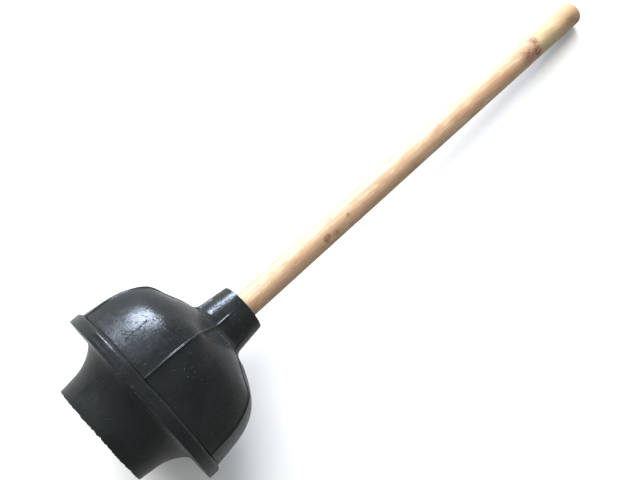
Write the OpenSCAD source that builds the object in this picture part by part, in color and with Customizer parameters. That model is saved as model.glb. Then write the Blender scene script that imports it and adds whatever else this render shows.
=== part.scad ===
// Toilet plunger: a ribbed rubber cup with a fold-in flange, on a wooden handle.
// The mouth of the flange stands on z = 0 and the handle points along +Z.

/* [Rim] */
// Outside diameter of the rim at its lower edge
rim_d = 158; // [130:1:200]
// Height of the rim band
rim_h = 10.5; // [8:0.5:16]
// How far the rim stands out past the foot of the bell
rim_step = 3; // [1.5:0.5:5]
// How much the rim's side leans in towards its top
rim_draft = 1.2; // [0:0.2:1.4]
// Height of the bevel along the rim's top edge
rim_bevel = 2.5; // [1:0.5:4]
// Thickness of the flat web under the rim
web_t = 4; // [2.5:0.5:6]

/* [Bell] */
// Height of the bell from the rim's lower edge to the neck
bell_h = 82.5; // [65:0.5:105]
// Thickness of the bell's wall
bell_t = 4; // [2.5:0.5:6]
// Height of the slope from the shoulder point up to the neck
crown_h = 11; // [8:0.5:16]
// Width of the crown, from the neck out to the shoulder point
crown_w = 13.3; // [10:0.1:20]
// How far the corner that the shoulder rounds off lies below the neck
corner_drop = 25; // [18:0.5:32]
// How far that corner lies inside the foot of the bell
corner_in = 6.5; // [3:0.5:12]
// Number of ribs down the bell
rib_count = 6; // [3:1:8]
// Width of each rib
rib_w = 2.4; // [1.5:0.1:4]
// How far each rib stands proud
rib_h = 1.2; // [0.6:0.1:2]

/* [Flange] */
// Length of the flange below the rim
flange_len = 38; // [28:0.5:50]
// Outside diameter of the flange at its mouth
mouth_d = 88; // [70:1:100]
// Diameter at which the flange turns out into the flat web
flare_d = 120; // [112:1:126]
// How far the flange spreads between its mouth and the start of the flare
flange_spread = 1.5; // [0:0.5:3]
// Height of the flare
flare_h = 24; // [16:0.5:26]
// Thickness of the flange's wall
flange_t = 3; // [2:0.5:5]
// Height of the firm lip at the mouth
lip_h = 5; // [4:0.5:8]

/* [Socket] */
// Height of the collar above the neck
collar_h = 23.5; // [16:0.5:36]
// Outside diameter of the collar at the neck
neck_d = 47; // [40:0.5:56]
// Outside diameter of the collar at its top
collar_top_d = 41.5; // [34:0.5:54]
// Depth of the socket that holds the handle
socket_depth = 39; // [25:1:50]
// Thickness of the socket's floor
floor_t = 7; // [4:0.5:10]
// Outside diameter of the boss inside the bell
boss_d = 35; // [30:0.5:38]
// Chamfer round the collar's top edge
collar_edge = 1; // [0.5:0.5:2]

/* [Handle] */
// Diameter of the handle
handle_d = 22; // [18:0.5:26]
// Length of the handle
handle_len = 457; // [300:1:600]
// Radius of the rounding at the handle's free end
tip_r = 4.5; // [1:0.5:8]
// How far the handle's socket end is turned down all round
spigot_step = 0.5; // [0.5:0.25:1.5]
// Chamfer at the handle's socket end
foot_chamfer = 1; // [0.5:0.5:2]

/* [Screw] */
// Outside diameter of the screw's thread
screw_d = 5; // [4:0.5:6]
// Depth of the screw's thread
thread_h = 0.7; // [0.4:0.1:1]
// Distance from one thread to the next
thread_pitch = 2.5; // [2:0.5:3.5]
// Length of the screw under its head
screw_len = 38; // [30:1:45]
// Length of the plain shank under its head
shank_len = 12; // [8:1:16]
// Length of the screw's point
point_len = 5; // [4:0.5:7]
// Diameter of the screw's head
head_d = 10; // [8:0.5:12]
// Height of the screw's head
head_h = 3.2; // [2.5:0.1:4]
// Length of each arm-to-arm slot of the cross in the head
cross_len = 5.6; // [4:0.1:7]
// Width of those slots
cross_w = 1.4; // [1:0.1:2]
// Depth of those slots
cross_depth = 1.5; // [1:0.1:2]
// Outside diameter of the washer
washer_d = 25; // [18:0.5:28]
// Thickness of the washer
washer_t = 1.5; // [1:0.1:2.5]

/* [Clearances] */
// Gap between the flexing walls and the firm pieces that they carry
flex_gap = 0.3; // [0.2:0.1:0.5]
// Clearance around the handle in its socket
socket_gap = 0.05; // [0.02:0.01:0.2]
// Clearance around the screw in the washer and the socket's floor
screw_gap = 0.2; // [0.1:0.05:0.5]
// Clearance around the screw in the handle
pilot_gap = 0.02; // [0.01:0.01:0.05]

/* [Hidden] */

rubber = [0.13, 0.14, 0.15];
wood = [0.80, 0.66, 0.47];
steel = [0.72, 0.73, 0.75];

round_fn = 96;
side_steps = 22;
fillet_steps = 8;
flare_steps = 12;
tip_steps = 8;

rim_r = rim_d / 2;
foot_r = rim_r - rim_step;
neck_r = neck_d / 2;
collar_top_r = collar_top_d / 2;
boss_r = boss_d / 2;
handle_r = handle_d / 2;
spigot_r = handle_r - spigot_step;
socket_r = spigot_r + socket_gap;
screw_r = screw_d / 2;
core_r = screw_r - thread_h;
head_r = head_d / 2;
head_edge = head_h / 2;
mouth_r = mouth_d / 2;
flare_r = flare_d / 2;

// Heights above the mouth
rim_z = flange_len;
foot_z = rim_z + rim_h;
neck_z = rim_z + bell_h;
collar_z = neck_z + flex_gap;
collar_top_z = neck_z + collar_h;
socket_z = collar_top_z - socket_depth;
boss_z = socket_z - floor_t;
washer_z = boss_z - washer_t;
handle_top_z = socket_z + handle_len;

// The four points that set the bell's outline: it leaves the foot, rounds off
// the corner, runs in through the shoulder and turns up at the neck.
foot = [foot_r, foot_z];
corner = [foot_r - corner_in, neck_z - corner_drop];
shoulder = [neck_r + crown_w, neck_z - crown_h];
neck = [neck_r, neck_z];
side_dir = (corner - foot) / norm(corner - foot);
crown_dir = (shoulder - corner) / norm(shoulder - corner);
collar_dir = [collar_top_r - neck_r, collar_h] / norm([collar_top_r - neck_r, collar_h]);
side_pull = 0.65;
shoulder_pull = 1.1;
fillet_pull = 8;

// How the flare leaves the flat web and comes down on to the straight part
flare_pull = 5;
flare_lean = 0.8;
flare_rise = 0.45;

// Ribs sink this far into the rubber, and fade out this far up the collar
rib_root = 1;
rib_fade = 0.66;

// Point on a cubic curve with four control points
function cubic(p, t) =
    pow(1 - t, 3) * p[0] + 3 * pow(1 - t, 2) * t * p[1]
    + 3 * (1 - t) * t * t * p[2] + pow(t, 3) * p[3];

// Points along that curve, both ends among them
function curve(p, steps) = [for (i = [0:steps]) cubic(p, i / steps)];

function reversed(list) = [for (i = [len(list) - 1:-1:0]) list[i]];

// Step of length t out of the rubber, square to an outline that runs upwards along d
function out_of(d, t) = t * [d[1], -d[0]];

// Outline of the bell from foot to neck, standing proud of the surface by t
function bell_outline(t) = concat(
    curve([
        foot + [t, 0],
        foot + side_pull * (corner - foot) + out_of(side_dir, t),
        shoulder + shoulder_pull * (corner - shoulder) + out_of(crown_dir, t),
        shoulder + out_of(crown_dir, t)
    ], side_steps),
    curve([
        shoulder + out_of(crown_dir, t),
        shoulder + fillet_pull * crown_dir + out_of(crown_dir, t),
        neck - fillet_pull * collar_dir + out_of(collar_dir, t),
        neck + [t, 0]
    ], fillet_steps)
);

// Inner outline of the bell, from foot to the hole that the boss hangs in
bell_hole_r = boss_r + flex_gap;
inner_shoulder = shoulder - out_of(crown_dir, bell_t);
function bell_inside() = concat(
    curve([
        foot - [bell_t, 0],
        foot + side_pull * (corner - foot) - out_of(side_dir, bell_t),
        shoulder + shoulder_pull * (corner - shoulder) - out_of(crown_dir, bell_t),
        inner_shoulder
    ], side_steps),
    [inner_shoulder
        + crown_dir * (bell_hole_r - inner_shoulder[0]) / crown_dir[0]]
);

// Radius of the flange's straight lower part at height z
bend_z = rim_z - flare_h;
function flange_r(z) = mouth_r + flange_spread * z / bend_z;

// Outline of the flange from the flat web down to the lip, inside the rubber by t
function flange_outline(t) = concat(
    curve([
        [flare_r, rim_z + t],
        [flare_r - flare_pull, rim_z + t],
        [flange_r(bend_z) + flare_lean - t, bend_z + flare_rise * flare_h],
        [flange_r(bend_z) - t, bend_z]
    ], flare_steps),
    [[flange_r(lip_h + flex_gap) - t, lip_h + flex_gap]]
);

// Thin upright fins all round the axis, each cut to one outline
module fins(outline) {
    for (i = [0:rib_count - 1])
        rotate(i * 360 / rib_count)
            rotate([90, 0, 0])
                linear_extrude(rib_w, center = true) polygon(outline);
}

module cup_rim() {
    color(rubber)
        rotate_extrude($fn = round_fn)
            polygon([
                [rim_r, rim_z],
                [rim_r - rim_draft, foot_z - rim_bevel],
                foot,
                [foot_r - bell_t, foot_z],
                [foot_r - bell_t, rim_z + web_t],
                [flare_r, rim_z + web_t],
                [flare_r, rim_z]
            ]);
}

module cup_bell() {
    color(rubber) {
        rotate_extrude($fn = round_fn)
            polygon(concat(
                bell_outline(0), [[bell_hole_r, neck_z]], reversed(bell_inside())
            ));
        fins(concat(bell_outline(rib_h), reversed(bell_outline(-rib_root))));
    }
}

module cup_flange() {
    color(rubber)
        rotate_extrude($fn = round_fn)
            polygon(concat(flange_outline(0), reversed(flange_outline(flange_t))));
}

module flange_lip() {
    color(rubber)
        rotate_extrude($fn = round_fn)
            polygon([
                [flange_r(0), 0],
                [flange_r(lip_h), lip_h],
                [flange_r(lip_h) - flange_t, lip_h],
                [flange_r(0) - flange_t, 0]
            ]);
}

module cup_collar() {
    hole_r = screw_r + screw_gap;
    fade_z = collar_z + rib_fade * collar_h;
    fade_r = neck_r + rib_fade * (collar_top_r - neck_r);
    color(rubber) {
        rotate_extrude($fn = round_fn)
            polygon([
                [hole_r, boss_z],
                [boss_r, boss_z],
                [boss_r, collar_z],
                [neck_r, collar_z],
                [collar_top_r, collar_top_z - collar_edge],
                [collar_top_r - collar_edge, collar_top_z],
                [socket_r, collar_top_z],
                [socket_r, socket_z],
                [hole_r, socket_z]
            ]);
        fins([
            [neck_r - rib_root, collar_z],
            [neck_r + rib_h, collar_z],
            [fade_r, fade_z],
            [fade_r - rib_root, fade_z]
        ]);
    }
}

// Outline of the screw above its head, fattened by gap
function screw_outline(gap) =
    let (
        thread_z = washer_z + shank_len,
        point_z = washer_z + screw_len - point_len,
        turns = floor((point_z - thread_z) / thread_pitch)
    )
    concat(
        [[screw_r + gap, washer_z], [screw_r + gap, thread_z - thread_h]],
        [for (i = [0:turns - 1], p = [[0, 0], [0.3, thread_h], [0.6, 0]])
            [core_r + p[1] + gap, thread_z + (i + p[0]) * thread_pitch]],
        [[core_r + gap, point_z], [0, washer_z + screw_len + gap]]
    );

module handle_screw() {
    color(steel)
        difference() {
            rotate_extrude($fn = round_fn)
                polygon(concat(
                    [
                        [0, washer_z - head_h],
                        [head_r - head_edge, washer_z - head_h],
                        [head_r, washer_z - head_h + head_edge],
                        [head_r, washer_z]
                    ],
                    screw_outline(0)
                ));
            for (turn = [0, 90])
                rotate(turn)
                    translate([-cross_len / 2, -cross_w / 2, washer_z - head_h - 1])
                        cube([cross_len, cross_w, cross_depth + 1]);
        }
}

module screw_washer() {
    color(steel)
        rotate_extrude($fn = round_fn)
            polygon([
                [screw_r + screw_gap, washer_z],
                [washer_d / 2, washer_z],
                [washer_d / 2, boss_z],
                [screw_r + screw_gap, boss_z]
            ]);
}

module handle() {
    color(wood)
        difference() {
            rotate_extrude($fn = round_fn)
                polygon(concat(
                    [
                        [0, socket_z],
                        [spigot_r - foot_chamfer, socket_z],
                        [spigot_r, socket_z + foot_chamfer],
                        [spigot_r, collar_top_z],
                        [handle_r, collar_top_z]
                    ],
                    [for (i = [0:tip_steps])
                        [handle_r - tip_r, handle_top_z - tip_r]
                        + tip_r * [cos(90 * i / tip_steps), sin(90 * i / tip_steps)]],
                    [[0, handle_top_z]]
                ));
            rotate_extrude($fn = round_fn)
                polygon(concat([[0, washer_z]], screw_outline(pilot_gap)));
        }
}

handle();
handle_screw();
screw_washer();
cup_collar();
cup_bell();
cup_rim();
cup_flange();
flange_lip();
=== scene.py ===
import math

import bpy
from mathutils import Matrix, Vector, noise


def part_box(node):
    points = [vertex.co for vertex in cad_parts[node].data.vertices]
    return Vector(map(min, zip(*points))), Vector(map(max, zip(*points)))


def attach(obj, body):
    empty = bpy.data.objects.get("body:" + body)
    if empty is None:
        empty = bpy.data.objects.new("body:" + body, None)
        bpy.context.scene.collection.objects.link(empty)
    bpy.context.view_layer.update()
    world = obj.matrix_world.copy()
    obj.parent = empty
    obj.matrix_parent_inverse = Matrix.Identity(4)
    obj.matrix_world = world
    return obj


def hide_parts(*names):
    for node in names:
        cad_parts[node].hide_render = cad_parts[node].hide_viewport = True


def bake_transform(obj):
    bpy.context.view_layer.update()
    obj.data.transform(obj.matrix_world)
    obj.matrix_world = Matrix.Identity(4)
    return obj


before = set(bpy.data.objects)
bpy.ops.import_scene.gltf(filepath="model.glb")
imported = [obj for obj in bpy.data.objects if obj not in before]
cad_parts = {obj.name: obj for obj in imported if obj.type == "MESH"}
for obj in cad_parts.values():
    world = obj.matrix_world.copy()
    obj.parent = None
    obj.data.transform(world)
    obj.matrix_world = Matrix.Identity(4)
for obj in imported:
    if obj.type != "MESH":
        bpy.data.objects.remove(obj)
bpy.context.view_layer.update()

# ---- Rim ---------------------------------------------------------------------------------
# The thick band round the foot of the bell, and the flat web that runs in under it to the
# flange. It is black rubber, moulded in one with the rest of the cup in a two-part mould,
# which leaves a fine parting line round its side and a small nub of flash on its lower edge.

rim_low, rim_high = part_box("cup_rim")
rim_r = rim_high.x
rim_z = rim_low.z
foot_z = rim_high.z
rim_step = 0.003
foot_r = rim_r - rim_step
bell_t = 0.004
web_t = 0.004
web_z = rim_z + web_t
web_fillet = 0.001
flare_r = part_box("cup_flange")[1].x
# Its rounded edges, the top one sloping, and the small ledge that the bell's foot stands on
low_edge_round = 0.0005
top_edge_round = 0.0028
top_slope = 0.0014
ledge_out = 0.0003
ledge_drop = 0.0002
rim_spacing = 0.0006
rim_columns = 360
# What the mould leaves: a slight unevenness, and on the side the parting line and the nub
rim_unevenness = 0.00018
side_depth = 0.002
parting_rise = 0.0026
parting_proud = 0.00016
parting_half = 0.0007
nub_angle = math.radians(-60)
nub_half = 0.0022
nub_proud = 0.0009
nub_droop = 0.4


def rounded(corners, spacing, arc_steps=5):
    """Closed outline through corners (r, z, rounding), with straights no longer than spacing."""
    arcs = []
    for i, (r, z, rounding) in enumerate(corners):
        here = Vector((r, z))
        back = (Vector(corners[i - 1][:2]) - here).normalized()
        on = (Vector(corners[(i + 1) % len(corners)][:2]) - here).normalized()
        half = back.angle(on) / 2
        centre = here + (back + on).normalized() * rounding / math.sin(half)
        first = here + back * rounding / math.tan(half) - centre
        last = here + on * rounding / math.tan(half) - centre
        turn = first.angle_signed(last) if rounding else 0
        steps = arc_steps if rounding else 0
        arcs.append([
            centre + Matrix.Rotation(-turn * k / max(steps, 1), 2) @ first
            for k in range(steps + 1)
        ])
    outline = []
    for i, arc in enumerate(arcs):
        outline += arc
        start, end = arc[-1], arcs[(i + 1) % len(arcs)][0]
        gap = (end - start).length
        pieces = max(1, math.ceil(gap / spacing))
        outline += [start.lerp(end, k / pieces) for k in range(1, pieces)]
    return [(p.x, p.y) for p in outline]


def skinned(name, rows, closed=True, sharp=50):
    """A smooth mesh over rows of points that each run once round the axis. A closed one joins
    its last row to its first, and an open one has both ends capped."""
    columns = len(rows[0])
    joins = len(rows) if closed else len(rows) - 1
    faces = []
    for i in range(joins):
        this, above = i * columns, (i + 1) % len(rows) * columns
        for c in range(columns):
            d = (c + 1) % columns
            faces.append((this + c, this + d, above + d, above + c))
    if not closed:
        faces.append(tuple(reversed(range(columns))))
        faces.append(tuple(range(joins * columns, joins * columns + columns)))
    points = [p for row in rows for p in row]
    mesh = bpy.data.meshes.new(name)
    mesh.from_pydata(points, [], faces)
    mesh.shade_smooth()
    mesh.set_sharp_from_angle(angle=math.radians(sharp))
    # Where each point was moulded, so that marks stay with the rubber when it flexes.
    moulded = mesh.attributes.new("moulded_at", "FLOAT_VECTOR", "POINT")
    moulded.data.foreach_set("vector", [x for p in points for x in p])
    piece = bpy.data.objects.new(name, mesh)
    bpy.context.scene.collection.objects.link(piece)
    return piece


def turned(outline, columns, shift=None):
    """Rows of an outline [(r, z), ...] turned about the axis. shift(r, z, angle) gives how far
    a point moves out and up."""
    rows = []
    for r, z in outline:
        row = []
        for c in range(columns):
            angle = math.tau * c / columns
            out, up = shift(r, z, angle) if shift else (0, 0)
            row.append(((r + out) * math.cos(angle), (r + out) * math.sin(angle), z + up))
        rows.append(row)
    return rows


def hump(distance, half):
    """1 at no distance, falling smoothly to 0 at half."""
    share = min(abs(distance) / half, 1)
    return (1 + math.cos(math.pi * share)) / 2


def wavy(angle, per_turn, drift=0):
    """A smooth unevenness, -1 to 1, that changes about per_turn times round the axis. drift
    carries it on to another pattern."""
    round_axis = Vector((math.cos(angle), math.sin(angle), 0))
    return noise.noise(round_axis * per_turn + Vector((0, 0, drift)))


def moulding_marks(r, z, angle):
    """The parting line and the nub, and a slight unevenness all round."""
    on_side = r > rim_r - side_depth
    uneven = rim_unevenness * wavy(angle, 3, z * 120)
    line = parting_proud * hump(z - rim_z - parting_rise, parting_half) if on_side else 0
    away = abs((angle - nub_angle + math.pi) % math.tau - math.pi) * rim_r
    nub = nub_proud * hump(away, nub_half) * hump(z - rim_z, nub_half) if on_side else 0
    return line + nub + uneven, -nub_droop * nub


rim_outline = rounded([
    (rim_r, rim_z, low_edge_round),
    (rim_r, foot_z - top_slope, top_edge_round),
    (foot_r + ledge_out, foot_z - ledge_drop, ledge_drop),
    (foot_r - bell_t, foot_z - ledge_drop, 0),
    (foot_r - bell_t, web_z, web_fillet),
    (flare_r, web_z, 0),
    (flare_r, rim_z, 0),
], spacing=rim_spacing)
rim = skinned("cup_rim_moulded", turned(rim_outline, rim_columns, moulding_marks))


def place(tree, kind, inputs=(), **settings):
    """A node of that kind, with its settings made and its inputs set or linked."""
    made = tree.nodes.new(kind)
    for name, value in settings.items():
        setattr(made, name, value)
    for socket, value in dict(inputs).items():
        if isinstance(value, bpy.types.NodeSocket):
            tree.links.new(value, made.inputs[socket])
        else:
            made.inputs[socket].default_value = value
    return made


def maths(tree, operation, *values):
    """The result of one math step on numbers or sockets."""
    return place(tree, "ShaderNodeMath", enumerate(values), operation=operation).outputs[0]


def ramp(tree, value, low, high, to_low=0, to_high=1):
    """value carried smoothly from low..high to to_low..to_high, and held at its ends."""
    inputs = {
        "Value": value, "From Min": low, "From Max": high, "To Min": to_low, "To Max": to_high
    }
    made = place(tree, "ShaderNodeMapRange", inputs, interpolation_type="SMOOTHSTEP")
    return made.outputs[0]


def layered(tree, colour, *coats):
    """colour with each coat laid over it in turn. A coat is its mask, its weight and its own
    colour. The mix node's colour sockets are 6 and 7, and 2 is its result."""
    for mask, weight, coat in coats:
        inputs = {0: maths(tree, "MULTIPLY", mask, weight), 6: colour, 7: coat}
        colour = place(tree, "ShaderNodeMix", inputs, data_type="RGBA").outputs[2]
    return colour


def summed(tree, total, *parts):
    """total plus every part's mask times its amount."""
    for mask, amount in parts:
        total = maths(tree, "ADD", total, maths(tree, "MULTIPLY", mask, amount))
    return total


def group(name, inputs, outputs):
    """An empty node group with these sockets, and its input and output nodes."""
    tree = bpy.data.node_groups.new(name, "ShaderNodeTree")
    for socket, kind, value in inputs:
        made = tree.interface.new_socket(socket, in_out="INPUT", socket_type=kind)
        if value is not None:
            made.default_value = value
    for socket, kind in outputs:
        tree.interface.new_socket(socket, in_out="OUTPUT", socket_type=kind)
    given = tree.nodes.new("NodeGroupInput")
    result = tree.nodes.new("NodeGroupOutput")
    return tree, given.outputs, result.inputs


# Mottling: cloudy patches, as bloom, dust, stains and handling leave on any surface. A high
# scale and a narrow range from low to high make it specks.
mottling, given, result = group(
    "mottling",
    [("Vector", "NodeSocketVector", None), ("Scale", "NodeSocketFloat", 20.0),
     ("Low", "NodeSocketFloat", 0.4), ("High", "NodeSocketFloat", 0.7)],
    [("Mask", "NodeSocketFloat")],
)
clouds = place(mottling, "ShaderNodeTexNoise", {
    "Vector": given["Vector"], "Scale": given["Scale"], "Detail": 5.0, "Roughness": 0.6,
    "Distortion": 0.6,
})
mottling.links.new(
    ramp(mottling, clouds.outputs[0], given["Low"], given["High"]), result["Mask"]
)

# Scratch: a thin mark along a straight line between two points, broken up a little.
scratch, given, result = group(
    "scratch",
    [("Vector", "NodeSocketVector", None), ("Start", "NodeSocketVector", None),
     ("End", "NodeSocketVector", None), ("Width", "NodeSocketFloat", 0.0005)],
    [("Mask", "NodeSocketFloat")],
)


def vectors(tree, operation, *values):
    """The vector that one step on vectors gives."""
    return place(tree, "ShaderNodeVectorMath", enumerate(values), operation=operation).outputs[0]


def measured(tree, operation, *values):
    """The number that one step on vectors gives, such as a length."""
    made = place(tree, "ShaderNodeVectorMath", enumerate(values), operation=operation)
    return made.outputs["Value"]


def scaled(tree, vector, times):
    """A vector made longer or shorter by a number or socket."""
    inputs = {0: vector, "Scale": times}
    return place(tree, "ShaderNodeVectorMath", inputs, operation="SCALE").outputs[0]


whole_line = vectors(scratch, "SUBTRACT", given["End"], given["Start"])
reach = vectors(scratch, "SUBTRACT", given["Vector"], given["Start"])
line_share = maths(
    scratch, "DIVIDE",
    measured(scratch, "DOT_PRODUCT", reach, whole_line),
    measured(scratch, "DOT_PRODUCT", whole_line, whole_line),
)
line_share = place(scratch, "ShaderNodeClamp", {"Value": line_share}).outputs[0]
off_line = measured(scratch, "DISTANCE", reach, scaled(scratch, whole_line, line_share))
waver = place(scratch, "ShaderNodeTexNoise", {"Vector": given["Vector"], "Scale": 420.0})
uneven_width = maths(
    scratch, "MULTIPLY", given["Width"], ramp(scratch, waver.outputs[0], 0.35, 0.65, 0.35, 1.3)
)
scratch.links.new(
    ramp(scratch, maths(scratch, "DIVIDE", off_line, uneven_width), 0.4, 1.0, 1, 0),
    result["Mask"],
)


def surface(name):
    """A new material, its nodes and its shader."""
    made = bpy.data.materials.new(name)
    made.use_nodes = True
    return made, made.node_tree, made.node_tree.nodes["Principled BSDF"]


def moulded_place(tree):
    """Where each point of a piece was made, which its marks keep to when it moves or flexes."""
    return place(tree, "ShaderNodeAttribute", attribute_name="moulded_at").outputs["Vector"]


def use(tree, made, inputs):
    """What a group puts out, placed in this tree with its own values."""
    return place(tree, "ShaderNodeGroup", inputs, node_tree=made).outputs[0]


# Black rubber: near-black and satin, with a bloom that dulls it in patches, the mould's fine
# texture, dust specks, pits and a few rubbed marks.
rubber, tree, shader = surface("black_rubber")
at = moulded_place(tree)
bloom = use(tree, mottling, {"Vector": at, "Scale": 26.0, "Low": 0.42, "High": 0.68})
tint = use(tree, mottling, {"Vector": at, "Scale": 60.0, "Low": 0.35, "High": 0.7})
dust = use(tree, mottling, {"Vector": at, "Scale": 900.0, "Low": 0.66, "High": 0.74})
pits = use(tree, mottling, {"Vector": at, "Scale": 520.0, "Low": 0.60, "High": 0.68})
scuffs = use(tree, mottling, {"Vector": at, "Scale": 210.0, "Low": 0.48, "High": 0.62})


def on_bell(angle, height, r):
    """The point at that angle in degrees, height above the rim's lower edge and radius."""
    turn = math.radians(angle)
    return (r * math.cos(turn), r * math.sin(turn), rim_z + height)


scratches = [
    (on_bell(-83.5, 0.0185, 0.0752), on_bell(-84.7, 0.0281, 0.0739), 0.0008),
    (on_bell(-84.7, 0.0281, 0.0739), on_bell(-85.5, 0.0379, 0.0721), 0.0010),
    (on_bell(-93.7, 0.0451, 0.0699), on_bell(-94.1, 0.0498, 0.0677), 0.0008),
    (on_bell(-37, 0.022, 0.0757), on_bell(-25, 0.026, 0.0752), 0.0003),
    (on_bell(20, 0.030, 0.0750), on_bell(26, 0.045, 0.0723), 0.0004),
    (on_bell(140, 0.020, 0.0757), on_bell(150, 0.036, 0.0746), 0.0004),
    (on_bell(-63, -0.027, 0.0451), on_bell(-61, -0.024, 0.0453), 0.0006),
]
marks = 0.0
for start, end, width in scratches:
    mark = use(tree, scratch, {"Vector": at, "Start": start, "End": end, "Width": width})
    marks = maths(tree, "MAXIMUM", marks, mark)

black = (0.0070, 0.0075, 0.0082, 1)
green_black = (0.0068, 0.0098, 0.0090, 1)
bloomed = (0.015, 0.016, 0.0175, 1)
dusty = (0.075, 0.075, 0.072, 1)
rubbed = (0.006, 0.006, 0.006, 1)
colour = layered(
    tree, black,
    (tint, 1.0, green_black),
    (bloom, 0.6, bloomed),
    (dust, 0.3, dusty),
    (marks, 1.0, rubbed),
)
tree.links.new(colour, shader.inputs["Base Color"])
gloss_lost = summed(tree, 0.15, (bloom, 0.09), (tint, 0.05), (scuffs, 0.08), (marks, 0.25))
tree.links.new(gloss_lost, shader.inputs["Roughness"])
skin_grain = place(tree, "ShaderNodeTexNoise", {
    "Vector": at, "Scale": 700.0, "Detail": 4.0, "Roughness": 0.65,
}).outputs[0]
soft_waves = place(tree, "ShaderNodeTexNoise", {
    "Vector": at, "Scale": 95.0, "Detail": 3.0, "Roughness": 0.5,
}).outputs[0]


def raised(tree, *parts):
    """The normal of a skin raised by each mask times its height in metres."""
    inputs = {"Height": summed(tree, 0.0, *parts), "Strength": 1.0, "Distance": 1.0}
    return place(tree, "ShaderNodeBump", inputs).outputs[0]


skin = raised(
    tree,
    (skin_grain, 0.00011),
    (soft_waves, 0.00034),
    (marks, -0.00030),
    (pits, -0.00016),
    (dust, 0.00003),
)
tree.links.new(skin, shader.inputs["Normal"])
shader.inputs["Specular IOR Level"].default_value = 0.30
shader.inputs["Sheen Weight"].default_value = 0.03
rim.data.materials.append(rubber)
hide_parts("cup_rim")
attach(rim, "cup")

# ---- Flange ------------------------------------------------------------------------------
# The thin funnel that runs down from the web to a short tube. It is the same rubber, soft
# enough to be pushed up into the bell, and its mouth was trimmed by hand, so it is ragged.

flange_t = 0.003
flare_h = 0.024
bend_z = rim_z - flare_h
spread = 0.0015
lip_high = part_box("flange_lip")[1]
mouth_r = lip_high.x - spread * lip_high.z / bend_z
# How the flare's curve leaves the tube and comes level with the web
flare_pull = 0.005
flare_lean = 0.0008
flare_rise = 0.0108
tube_steps = 16
flare_steps = 34
flange_columns = 420
# The uneven cut of the mouth, and the waves in the thin wall
trim_depth = 0.0013
trim_zone = 0.006
edge_wave = 0.0004
wall_wave = 0.0005
wave_middle = 0.004
wave_reach = 0.030


def cubic(points, steps):
    """Points along a cubic curve with four control points, both ends among them."""
    curve = []
    for i in range(steps + 1):
        t = i / steps
        shares = ((1 - t) ** 3, 3 * t * (1 - t) ** 2, 3 * t * t * (1 - t), t ** 3)
        curve.append(tuple(sum(s * p[k] for s, p in zip(shares, points)) for k in (0, 1)))
    return curve


def flange_wall(inset):
    """Outline of one skin of the flange, from its mouth up and out to the web."""
    low = (mouth_r - inset, 0)
    high = (mouth_r + spread - inset, bend_z)
    tube = [
        (low[0] + (high[0] - low[0]) * k / tube_steps, bend_z * k / tube_steps)
        for k in range(tube_steps)
    ]
    flare = cubic([
        high,
        (high[0] + flare_lean, bend_z + flare_rise),
        (flare_r - flare_pull, rim_z + inset),
        (flare_r, rim_z + inset),
    ], flare_steps)
    return tube + flare


def trimmed(r, z, angle):
    """The mouth's edge, cut unevenly upwards, and a slow waviness in the thin wall."""
    at_mouth = hump(z, trim_zone)
    coarse = wavy(angle, 7, drift=4)
    fine = wavy(angle, 26, drift=9)
    finer = wavy(angle, 60)
    cut = trim_depth * max(0, 0.35 + 0.5 * coarse + 0.75 * fine + 0.3 * finer)
    wave = wall_wave * wavy(angle, 2, z * 30) * hump(z - wave_middle, wave_reach)
    return wave + edge_wave * fine * at_mouth, cut * at_mouth


flange_outline = flange_wall(0) + list(reversed(flange_wall(flange_t)))
flange_rows = turned(flange_outline, flange_columns, trimmed)
flange = skinned("cup_flange_moulded", flange_rows, sharp=55)
flange.data.materials.append(rubber)
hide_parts("cup_flange", "flange_lip")
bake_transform(flange)

# ---- Bell --------------------------------------------------------------------------------
# The dome that is pushed: one rubber wall in six gores, moulded in one with the rim. Between
# the ribs the gores are flatter than a true round, and they swell again at the shoulder. The
# raised ribs run from the rim up over the neck, and die away on the collar.

bell_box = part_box("cup_bell")
collar_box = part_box("cup_collar")
neck_z = bell_box[1].z
rib_h = 0.0012
neck_r = collar_box[1].x - rib_h
collar_top_z = collar_box[1].z
collar_top_r = 0.02075
# The bell ends a little way up the collar. Inside, its skin stops short of the boss's core,
# and its foot is tucked just into the rim.
seam_rise = 0.004
seam_z = neck_z + seam_rise
core_r = 0.018
core_clear = 0.002
core_drop = 0.006
foot_tuck = 0.0005
foot_sunk = 0.0008
rib_count = 6
half_gore = math.pi / rib_count
# The two bends of the wall, below the neck, and how far the curve pulls towards them
corner_in, corner_drop = 0.0060, 0.0235
corner = Vector((foot_r - corner_in, neck_z - corner_drop))
shoulder_out, shoulder_drop = 0.0140, 0.0095
shoulder = Vector((neck_r + shoulder_out, neck_z - shoulder_drop))
side_pull, shoulder_pull, fillet_pull = 0.65, 1.1, 0.008
# The bead along each rib, and the distances from its middle at which the mesh has a point
bead_half = 0.0015
bead_proud = 0.0009
bead_offsets = [0, 0.0003, 0.0006, 0.0009, 0.0012, 0.0015, 0.0020, 0.0028]
bead_least_r = 0.020
bead_fade = 0.0158
gore_steps = 13
wall_steps = 64
fillet_steps = 22
seam_steps = 4
# How far the skin stands out beside a rib, from the foot up to the neck
rib_swell = [
    (foot_z, 0.0017), (foot_z + 0.020, 0.0026), (neck_z - 0.027, 0.0020),
    (neck_z - 0.0125, -0.0022), (neck_z, 0.0),
]


def eased(x, stations):
    """The value at x of a curve that goes level through each station (x, value)."""
    if x <= stations[0][0]:
        return stations[0][1]
    for (x0, v0), (x1, v1) in zip(stations, stations[1:]):
        if x <= x1:
            t = (x - x0) / (x1 - x0)
            return v0 + (v1 - v0) * t * t * (3 - 2 * t)
    return stations[-1][1]


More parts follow.
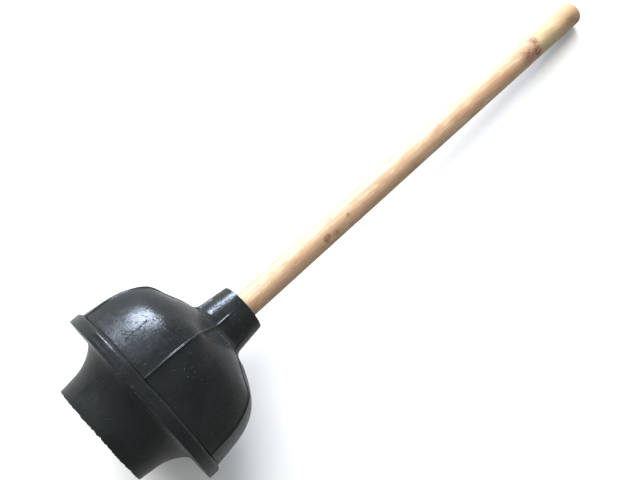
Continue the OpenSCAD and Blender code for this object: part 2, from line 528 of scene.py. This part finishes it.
def around(r):
    """Places round the axis at radius r, close together at the ribs: angle, distance from
    the nearest rib's middle, and share of the way to it from the middle of the gore."""
    beads = [d / max(r, bead_least_r) for d in bead_offsets]
    gore = half_gore - beads[-1]
    half = beads + [beads[-1] + gore * k / gore_steps for k in range(1, gore_steps + 1)]
    places = []
    for rib in range(rib_count):
        start = 2 * half_gore * rib
        places += [(start + a, a) for a in half]
        places += [(start + 2 * half_gore - a, a) for a in reversed(half[1:-1])]
    return [(angle, a * r, 1 - a / half_gore) for angle, a in places]


def ribbed_row(r, z, out, swell, bead):
    """One row of the outer skin. out is the way out of the rubber there, as (r, z)."""
    row = []
    for angle, aside, share in around(r):
        proud = swell * share ** 2 + bead * hump(aside, bead_half)
        here = r + out[0] * proud
        row.append((here * math.cos(angle), here * math.sin(angle), z + out[1] * proud))
    return row


def plain_row(r, z):
    """One row of an inner skin."""
    return [(r * math.cos(angle), r * math.sin(angle), z) for angle, _, _ in around(r)]


def bell_wall(inset):
    """Outline of one skin of the bell from its foot to the neck, inset from the outer one."""
    side = corner - Vector((foot_r, foot_z))
    crown = shoulder - corner
    taper = Vector((collar_top_r - neck_r, collar_top_z - neck_z)).normalized()
    side_in = Vector((-side.y, side.x)).normalized() * inset
    crown_in = Vector((-crown.y, crown.x)).normalized() * inset
    shoulder_point = shoulder + crown_in
    wall = cubic([
        Vector((foot_r - inset, foot_z)),
        Vector((foot_r, foot_z)) + side * side_pull + side_in,
        shoulder_point - crown * shoulder_pull,
        shoulder_point,
    ], wall_steps)
    neck_point = Vector((neck_r - inset, neck_z))
    fillet = cubic([
        shoulder_point,
        shoulder_point + crown.normalized() * fillet_pull,
        neck_point - taper * fillet_pull,
        neck_point,
    ], fillet_steps)
    return wall + fillet[1:]


def collar_r(z):
    """Radius of the collar's taper at a height."""
    return neck_r + (collar_top_r - neck_r) * (z - neck_z) / (collar_top_z - neck_z)


def taper_rows(low, high, steps):
    """Rows of the collar's outer skin, with the ribs dying away up it."""
    taper = Vector((collar_top_z - neck_z, neck_r - collar_top_r)).normalized()
    rows = []
    for k in range(steps + 1):
        z = low + (high - low) * k / steps
        bead = bead_proud * eased(z, [(neck_z, 1.0), (neck_z + bead_fade, 0.0)])
        rows.append(ribbed_row(collar_r(z), z, taper, 0, bead))
    return rows


outer = bell_wall(0)
inner = [
    (r, z) for r, z in bell_wall(bell_t)
    if r > core_r + core_clear and z < neck_z - core_drop
]
rows = [plain_row(foot_r - foot_tuck, foot_z - foot_sunk)]
for i, (r, z) in enumerate(outer):
    before, after = Vector(outer[max(i - 1, 0)]), Vector(outer[min(i + 1, len(outer) - 1)])
    way = (after - before).normalized()
    rows.append(ribbed_row(r, z, (way.y, -way.x), eased(z, rib_swell), bead_proud))
rows += taper_rows(neck_z, seam_z, seam_steps)[1:]
rows += [plain_row(core_r, seam_z), plain_row(core_r, inner[-1][1] + core_clear)]
rows += [plain_row(r, z) for r, z in reversed(inner)]
rows.append(plain_row(foot_r - bell_t, foot_z - foot_sunk))
bell = skinned("cup_bell_moulded", rows, sharp=60)
bell.data.materials.append(rubber)
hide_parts("cup_bell")
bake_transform(bell)

# ---- Collar ------------------------------------------------------------------------------
# The thick tapered socket on top of the bell, with a boss below it inside. It is moulded in
# one with the bell, stiff enough to grip the handle, and the screw passes through its floor.

handle_low, handle_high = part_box("handle")
handle_r = handle_high.x
socket_z = handle_low.z
spigot_step = 0.0005
spigot_r = handle_r - spigot_step
socket_gap = 0.0002
socket_r = spigot_r + socket_gap
socket_edge_round = 0.0003
socket_floor_round = 0.0005
collar_edge_round = 0.0009
edge_zone = 0.004
edge_z = collar_top_z - edge_zone
boss_z = collar_box[0].z
core_gap = 0.0005
boss_r = core_r - core_gap
boss_round = 0.0015
screw_hole_r = 0.0027
collar_spacing = 0.0015
taper_steps = 18

collar_outline = rounded([
    (collar_r(edge_z), edge_z, 0),
    (collar_top_r, collar_top_z, collar_edge_round),
    (socket_r, collar_top_z, socket_edge_round),
    (socket_r, socket_z, socket_floor_round),
    (screw_hole_r, socket_z, 0),
    (screw_hole_r, boss_z, socket_edge_round),
    (boss_r, boss_z, boss_round),
    (boss_r, seam_z, 0),
], spacing=collar_spacing)
# The ribbed taper takes the place of the outline's closing line, up to just below edge_z.
within = [(r, z) for r, z in collar_outline if r <= boss_r or z >= edge_z - 0.0001]
rows = taper_rows(seam_z, edge_z - 0.0005, taper_steps)
rows += [plain_row(r, z) for r, z in within]
collar = skinned("cup_collar_moulded", rows, sharp=50)
collar.data.materials.append(rubber)
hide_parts("cup_collar")
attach(collar, "handle")

# ---- Washer and screw --------------------------------------------------------------------
# A zinc-plated steel washer and a cross-head wood screw hold the handle in its socket. The
# washer is punched from sheet, and the screw's thread is rolled and runs up into the wood.

washer_low, washer_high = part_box("screw_washer")
screw_low, screw_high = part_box("handle_screw")
screw_r = 0.0025
thread_h = 0.0007
pitch = 0.0025
head_r = screw_high.x
washer_z = washer_low.z
screw_gap = 0.0002
washer_hole_r = screw_r + screw_gap
shank_len = 0.012
thread_low = washer_z + shank_len
# The point's length, its blunt end's share of the core, and half a ridge's share of the pitch
point_fade = 0.005
point_least = 0.12
ridge_half = 0.3
cross_half_len = 0.0028
cross_half_w = 0.0007
cross_depth = 0.0016
cross_wall = 0.0003
cross_end = 0.0006
# The domed head, nearly a half ellipse, and its chamfered edge
head_curve = 0.96
head_rise = 0.9
head_edge_h = 0.0004
head_edge_in = 0.0002
head_steps = 34
shank_steps = 150
screw_columns = 64
punched_round = 0.0002
pressed_round = 0.00035
round_columns = 96

washer_outline = rounded([
    (washer_hole_r, washer_low.z, punched_round),
    (washer_high.x, washer_low.z, pressed_round),
    (washer_high.x, washer_high.z, punched_round),
    (washer_hole_r, washer_high.z, punched_round),
], spacing=0.001)
washer = skinned("handle_washer", turned(washer_outline, round_columns))


def threaded(z, angle):
    """Radius of the screw at a height and angle: its plain shank, then its helical thread,
    which dies away towards the point."""
    if z < thread_low:
        return screw_r
    turn = ((z - thread_low) / pitch - angle / math.tau) % 1
    ridge = max(0, 1 - abs(turn - 0.5) / ridge_half)
    to_point = min(1, (screw_high.z - z) / point_fade)
    fade = min(1, (z - thread_low) / pitch) * to_point
    return (screw_r - thread_h) * max(point_least, to_point) + thread_h * ridge * fade


def cross_recess(x, y):
    """How deep the cross in the head is at a point, with sloping walls."""
    along_arm, across_arm = max(abs(x), abs(y)), min(abs(x), abs(y))
    wall = min(1, max(0, cross_half_w - across_arm) / cross_wall)
    end = min(1, max(0, cross_half_len - along_arm) / cross_end)
    return cross_depth * wall * end


rows = []
head_h = washer_z - screw_low.z
for k in range(1, head_steps):
    r = head_r * k / head_steps
    dome = head_h * head_rise * (1 - math.sqrt(1 - head_curve * (r / head_r) ** 2))
    row = []
    for c in range(screw_columns):
        angle = math.tau * c / screw_columns
        x, y = r * math.cos(angle), r * math.sin(angle)
        row.append((x, y, screw_low.z + max(dome, cross_recess(x, y))))
    rows.append(row)
head_edge = [
    (head_r, washer_z - head_edge_h),
    (head_r - head_edge_in, washer_z),
    (screw_r, washer_z),
]
rows += turned(head_edge, screw_columns)
for k in range(1, shank_steps + 1):
    z = washer_z + (screw_high.z - washer_z) * k / shank_steps
    row = []
    for c in range(screw_columns):
        angle = math.tau * c / screw_columns
        r = threaded(z, angle)
        row.append((r * math.cos(angle), r * math.sin(angle), z))
    rows.append(row)
screw = skinned("handle_screw_threaded", rows, closed=False, sharp=40)

zinc, tree, shader = surface("zinc_plated_steel")
at = moulded_place(tree)
spangle = use(tree, mottling, {"Vector": at, "Scale": 300.0, "Low": 0.35, "High": 0.7})
stain = use(tree, mottling, {"Vector": at, "Scale": 110.0, "Low": 0.58, "High": 0.72})
dark_zinc = (0.56, 0.57, 0.58, 1)
pale_zinc = (0.66, 0.66, 0.66, 1)
stained = (0.30, 0.25, 0.20, 1)
colour = layered(tree, dark_zinc, (spangle, 1.0, pale_zinc), (stain, 0.5, stained))
tree.links.new(colour, shader.inputs["Base Color"])
tree.links.new(summed(tree, 0.3, (stain, 0.3)), shader.inputs["Roughness"])
brushing = place(tree, "ShaderNodeTexNoise", {"Vector": at, "Scale": 2500.0}).outputs[0]
tree.links.new(raised(tree, (brushing, 0.000003)), shader.inputs["Normal"])
shader.inputs["Metallic"].default_value = 1.0
for piece, cad_node in ((washer, "screw_washer"), (screw, "handle_screw")):
    piece.data.materials.append(zinc)
    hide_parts(cad_node)
    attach(piece, "handle")

# ---- Handle ------------------------------------------------------------------------------
# A straight dowel of pale hardwood, sanded and thinly varnished. Its end in the socket is
# turned down to a shoulder, and its free end is rounded over. It has a few knots.

handle_top = handle_high.z
tip_r = 0.0045
foot_chamfer = 0.001
shaft_steps = 150
tip_steps = 14
end_steps = 6
flat_depth = 0.00013
# The side that faces the camera, and the way to its right
camera_turn = math.radians(36)
aside_way = Vector((math.cos(camera_turn), math.sin(camera_turn), 0))
front_way = Vector((math.sin(camera_turn), -math.cos(camera_turn), 0))

shaft_top = handle_top - tip_r
dowel = [
    (spigot_r - foot_chamfer, socket_z),
    (spigot_r, socket_z + foot_chamfer),
    (spigot_r, collar_top_z),
    (handle_r, collar_top_z),
]
dowel += [
    (handle_r, collar_top_z + (shaft_top - collar_top_z) * k / shaft_steps)
    for k in range(1, shaft_steps)
]
dowel += [
    (handle_r - tip_r + tip_r * math.cos(math.pi / 2 * k / tip_steps),
     shaft_top + tip_r * math.sin(math.pi / 2 * k / tip_steps))
    for k in range(tip_steps + 1)
]
dowel += [
    ((handle_r - tip_r) * (1 - k / end_steps), handle_top)
    for k in range(1, end_steps)
]


def sanded(r, z, angle):
    """The slight flats and hollows that sanding leaves."""
    if z < collar_top_z + foot_chamfer:
        return 0, 0
    flats = flat_depth * wavy(angle, 1.3, z * 11.7)
    return flats * min(1, r / handle_r), 0


dowel_rows = turned(dowel, round_columns, sanded)
handle = skinned("handle_dowel", dowel_rows, closed=False, sharp=35)

# Knot: a dark spot with a soft and uneven edge.
knot, given, result = group(
    "knot",
    [("Vector", "NodeSocketVector", None), ("Centre", "NodeSocketVector", None),
     ("Across", "NodeSocketFloat", 0.004), ("Along", "NodeSocketFloat", 0.004)],
    [("Mask", "NodeSocketFloat")],
)
away = vectors(knot, "SUBTRACT", given["Vector"], given["Centre"])
wobble = place(knot, "ShaderNodeTexNoise", {
    "Vector": given["Vector"], "Scale": 190.0, "Detail": 3.0,
}).outputs["Color"]
wobble = vectors(knot, "SUBTRACT", wobble, (0.5, 0.5, 0.5))
away = vectors(knot, "ADD", away, scaled(knot, wobble, 0.007))
size = place(knot, "ShaderNodeCombineXYZ", {
    0: given["Across"], 1: given["Across"], 2: given["Along"],
}).outputs[0]
from_centre = measured(knot, "LENGTH", vectors(knot, "DIVIDE", away, size))
knot.links.new(ramp(knot, from_centre, 0.25, 1.15, 1, 0), result["Mask"])


def on_shaft(share, across):
    """The point a share of the way from collar to tip, and from one side (-1) to the other."""
    z = collar_top_z + (handle_top - collar_top_z) * share
    facing = math.sqrt(max(0, 1 - across * across))
    point = (aside_way * across + front_way * facing) * handle_r
    return (point.x, point.y, z)


# Varnished hardwood: pale and warm, with streaks, yearly rings, blotches and short flecks along
# the grain, a greenish band of sapwood, knots, and an end darkened by hands.
wood, tree, shader = surface("varnished_hardwood")
at = moulded_place(tree)


def drawn_out(share):
    """Where a point was moulded, with the handle's length taken as that share of itself, so
    that a pattern there is drawn out along the grain."""
    return vectors(tree, "MULTIPLY", at, (1, 1, share))


streak_at = drawn_out(0.035)
streaks = place(tree, "ShaderNodeTexNoise", {
    "Vector": streak_at, "Scale": 330.0, "Detail": 6.0, "Roughness": 0.62, "Distortion": 0.4,
}).outputs[0]
broad = place(tree, "ShaderNodeTexNoise", {
    "Vector": streak_at, "Scale": 70.0, "Detail": 3.0, "Roughness": 0.5, "Distortion": 0.8,
}).outputs[0]
pores = place(tree, "ShaderNodeTexNoise", {
    "Vector": drawn_out(0.06), "Scale": 2600.0, "Detail": 2.0,
}).outputs[0]
# Yearly rings, seen as long curved lines where the dowel cuts them at a slant
swerve = place(tree, "ShaderNodeTexNoise", {
    "Vector": drawn_out(0.16), "Scale": 55.0, "Detail": 2.0,
}).outputs["Color"]
pith = (0.018, 0.026, 0.03)
ring_turns = 2600.0
bent = vectors(tree, "ADD", drawn_out(0.11), scaled(tree, swerve, 0.010))
from_pith = measured(tree, "LENGTH", vectors(tree, "SUBTRACT", bent, pith))
rings = maths(tree, "SINE", maths(tree, "MULTIPLY", from_pith, ring_turns))
rings = ramp(tree, rings, 0.1, 1.0)

# Each knot's centre, its size across and along the grain, and how dark it is
knots = [
    (on_shaft(0.208, 0.40), 0.0042, 0.0055, 0.85),
    (on_shaft(0.231, 0.45), 0.0034, 0.0040, 0.70),
    (on_shaft(0.238, -0.65), 0.0040, 0.0060, 0.40),
    (on_shaft(0.270, 0.05), 0.0018, 0.0026, 1.0),
    (on_shaft(0.545, -0.2), 0.0040, 0.0070, 0.35),
    (on_shaft(0.587, 0.1), 0.0040, 0.0070, 0.35),
    (on_shaft(0.814, -0.15), 0.0038, 0.0036, 0.75),
    (on_shaft(0.826, 0.35), 0.0100, 0.0125, 0.80),
    (on_shaft(0.854, -0.40), 0.0070, 0.0062, 0.85),
    (on_shaft(0.847, 0.50), 0.0085, 0.0075, 0.95),
    (on_shaft(0.965, 0.40), 0.0065, 0.0100, 0.65),
    (on_shaft(0.985, 0.90), 0.0060, 0.0060, 0.85),
    (on_shaft(0.42, -0.9), 0.0050, 0.0080, 0.5),
    ((-0.0085, 0.006, collar_top_z + 0.12), 0.0042, 0.006, 0.7),
    ((-0.004, 0.010, collar_top_z + 0.29), 0.0036, 0.005, 0.7),
]
knotted = 0.0
for centre, across, with_grain, weight in knots:
    inputs = {"Vector": at, "Centre": centre, "Across": across, "Along": with_grain}
    mask = use(tree, knot, inputs)
    knotted = maths(tree, "MAXIMUM", knotted, maths(tree, "MULTIPLY", mask, weight))
blotches = use(tree, mottling, {
    "Vector": drawn_out(0.4), "Scale": 95.0, "Low": 0.45, "High": 0.63,
})
flecks = use(tree, mottling, {
    "Vector": drawn_out(0.30), "Scale": 700.0, "Low": 0.48, "High": 0.62,
})
knot_specks = use(tree, mottling, {"Vector": at, "Scale": 480.0, "Low": 0.47, "High": 0.60})
specked = maths(tree, "MULTIPLY", maths(tree, "MULTIPLY", knotted, knotted), knot_specks)
height_up = place(tree, "ShaderNodeSeparateXYZ", {0: at}).outputs[2]
handled = ramp(tree, height_up, handle_top - 0.034, handle_top - 0.022)
sapwood = maths(
    tree, "MULTIPLY",
    ramp(tree, height_up, handle_top - 0.063, handle_top - 0.053),
    ramp(tree, height_up, handle_top - 0.040, handle_top - 0.028, 1, 0),
)
sapwood = maths(tree, "MULTIPLY", sapwood, ramp(tree, broad, 0.30, 0.62, 0.25, 0.85))
pale = (0.51, 0.385, 0.255, 1)
warm = (0.44, 0.285, 0.175, 1)
reddish = (0.37, 0.21, 0.125, 1)
ring_brown = (0.355, 0.215, 0.12, 1)
knot_brown = (0.25, 0.13, 0.075, 1)
knot_black = (0.07, 0.035, 0.022, 1)
grimy = (0.34, 0.235, 0.125, 1)
greenish = (0.33, 0.295, 0.15, 1)
colour = layered(
    tree, pale,
    (ramp(tree, broad, 0.35, 0.7), 1.0, warm),
    (ramp(tree, streaks, 0.42, 0.72), 0.75, ring_brown),
    (rings, 0.40, ring_brown),
    (blotches, 0.70, reddish),
    (flecks, 0.60, ring_brown),
    (sapwood, 1.0, greenish),
    (handled, 0.7, grimy),
    (knotted, 0.9, knot_brown),
    (specked, 1.0, knot_black),
)
tree.links.new(colour, shader.inputs["Base Color"])
tree.links.new(summed(tree, 0.52, (streaks, 0.2)), shader.inputs["Roughness"])
tree.links.new(raised(tree, (streaks, 0.00006), (pores, 0.00003)), shader.inputs["Normal"])
shader.inputs["Coat Weight"].default_value = 0.12
shader.inputs["Coat Roughness"].default_value = 0.35
handle.data.materials.append(wood)
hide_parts("handle")
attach(handle, "handle")

# ---- Floor -------------------------------------------------------------------------------
# The pale matt sheet that the plunger lies on, touched by its rim and the far end of its
# handle. It is wide enough for every view, is clear from behind, and the gloss on the rubber
# shows it darker than the eye does, so that the cup's shaded side stays black.

rim_touch = front_way * -rim_r + Vector((0, 0, rim_z))
tip_touch = front_way * -handle_r + Vector((0, 0, shaft_top))
up_sheet = (tip_touch - rim_touch).normalized()
out_of_sheet = aside_way.cross(up_sheet)
out_of_sheet = out_of_sheet if out_of_sheet.dot(front_way) > 0 else -out_of_sheet
across_sheet = up_sheet.cross(out_of_sheet)
sheet_half = 9.0
sheet_mesh = bpy.data.meshes.new("pale_sheet")
sheet_mesh.from_pydata([
    rim_touch + across_sheet * sheet_half * a + up_sheet * sheet_half * b
    for a, b in ((-1, -1), (1, -1), (1, 1), (-1, 1))
], [], [(0, 1, 2, 3)])
if sheet_mesh.polygons[0].normal.dot(front_way) < 0:
    sheet_mesh.flip_normals()
sheet = bpy.data.objects.new("pale_sheet", sheet_mesh)
bpy.context.scene.collection.objects.link(sheet)
paper, tree, shader = surface("pale_paper")
shader.inputs["Base Color"].default_value = (0.88, 0.88, 0.87, 1)
shader.inputs["Roughness"].default_value = 0.9
shader.inputs["Specular IOR Level"].default_value = 0.1
shader.inputs["Emission Color"].default_value = (1.0, 1.0, 0.98, 1)
shader.inputs["Emission Strength"].default_value = 0.04
dark_paper = (0.12, 0.12, 0.12, 1)
dark_share = 0.7
dark = place(tree, "ShaderNodeBsdfDiffuse", {"Color": dark_paper}).outputs[0]
in_gloss = place(tree, "ShaderNodeLightPath").outputs["Is Glossy Ray"]
darkened = place(tree, "ShaderNodeMixShader", {
    0: maths(tree, "MULTIPLY", in_gloss, dark_share), 1: shader.outputs[0], 2: dark,
}).outputs[0]
behind = place(tree, "ShaderNodeNewGeometry").outputs["Backfacing"]
clear = place(tree, "ShaderNodeBsdfTransparent").outputs[0]
one_sided = place(tree, "ShaderNodeMixShader", {0: behind, 1: darkened, 2: clear}).outputs[0]
tree.links.new(one_sided, tree.nodes["Material Output"].inputs["Surface"])
sheet.data.materials.append(paper)

# ---- Light -------------------------------------------------------------------------------
# Daylight in a pale room that is brightest to the upper left. A small bluish window there
# makes the gloss on the rubber. A broad, warmer lamp low on the left throws the soft shadow on
# the sheet, and does not show in the gloss.

room_way = (Vector((0, 0, 0.50)) - aside_way * 0.70 + front_way * 0.45).normalized()
room_colour = (0.95, 0.98, 1.0, 1)
# The room's strength far from the bright side and at it, as it lights and as gloss shows it,
# and its one strength as a backdrop
lit_far, lit_near = 0.16, 1.15
gloss_far, gloss_near = 0.36, 0.42
backdrop = 0.75

world = bpy.data.worlds.new("daylight")
world.use_nodes = True
tree = world.node_tree
looking = place(tree, "ShaderNodeTexCoord").outputs["Generated"]
towards = measured(tree, "DOT_PRODUCT", looking, room_way)
lit = ramp(tree, towards, -0.1, 1.0, lit_far, lit_near)
glossed = ramp(tree, towards, -0.1, 1.0, gloss_far, gloss_near)
rays = place(tree, "ShaderNodeLightPath").outputs
strength = place(tree, "ShaderNodeMix", {0: rays["Is Glossy Ray"], 2: lit, 3: glossed}).outputs[0]
strength = place(tree, "ShaderNodeMix", {
    0: rays["Is Camera Ray"], 2: strength, 3: backdrop,
}).outputs[0]
tree.links.new(strength, tree.nodes["Background"].inputs["Strength"])
tree.nodes["Background"].inputs["Color"].default_value = room_colour
bpy.context.scene.world = world


def area_lamp(name, way, target_z, distance, energy, colour):
    """An area lamp that looks back along way at a point on the axis, at height target_z."""
    lamp = bpy.data.lights.new(name, "AREA")
    lamp.energy = energy
    lamp.color = colour
    stand = bpy.data.objects.new(name, lamp)
    stand.location = Vector((0, 0, target_z)) + way * distance
    stand.rotation_euler = (-way).to_track_quat("-Z", "Y").to_euler()
    bpy.context.scene.collection.objects.link(stand)
    return stand


window_way = (Vector((0, 0, 0.40)) - aside_way * 0.9 + front_way * 0.20).normalized()
window = area_lamp(
    "window", window_way, target_z=0.15, distance=1.5, energy=38.0, colour=(0.70, 0.81, 1.0)
)
window.data.shape = "RECTANGLE"
window.data.size, window.data.size_y = 0.42, 0.58
fill_way = (Vector((0, 0, 0.06)) - aside_way * 0.72 + front_way * 0.69).normalized()
fill = area_lamp(
    "soft_fill", fill_way, target_z=0.25, distance=2.2, energy=102.0, colour=(1.0, 0.985, 0.95)
)
fill.data.shape = "DISK"
fill.data.size = 2.4
fill.visible_glossy = False

# ---- Camera ------------------------------------------------------------------------------
# It stands a little below the rim, looks up towards the handle's middle, and is tipped so
# that the handle runs to the upper right.

camera_back = 8.377 * rim_r
camera_down = 0.121 * rim_r
camera_aside = 0.014 * rim_r
look_up = math.radians(16.83)
tipped = math.radians(48.04)
lens_mm = 47.3
sensor_mm = 36.0
camera = bpy.data.cameras.new("camera")
camera.lens = lens_mm
camera.sensor_width = sensor_mm
camera.clip_start, camera.clip_end = 0.01, 100.0
camera_stand = bpy.data.objects.new("camera", camera)
stand_at = front_way * camera_back + aside_way * camera_aside
stand_at += Vector((0, 0, rim_z - camera_down))
camera_stand.matrix_world = (
    Matrix.Translation(stand_at) @ Matrix.Rotation(camera_turn, 4, "Z")
    @ Matrix.Rotation(math.pi / 2 + look_up, 4, "X") @ Matrix.Rotation(tipped, 4, "Z")
)
bpy.context.scene.collection.objects.link(camera_stand)
bpy.context.scene.camera = camera_stand
bpy.context.scene.view_settings.view_transform = "Standard"
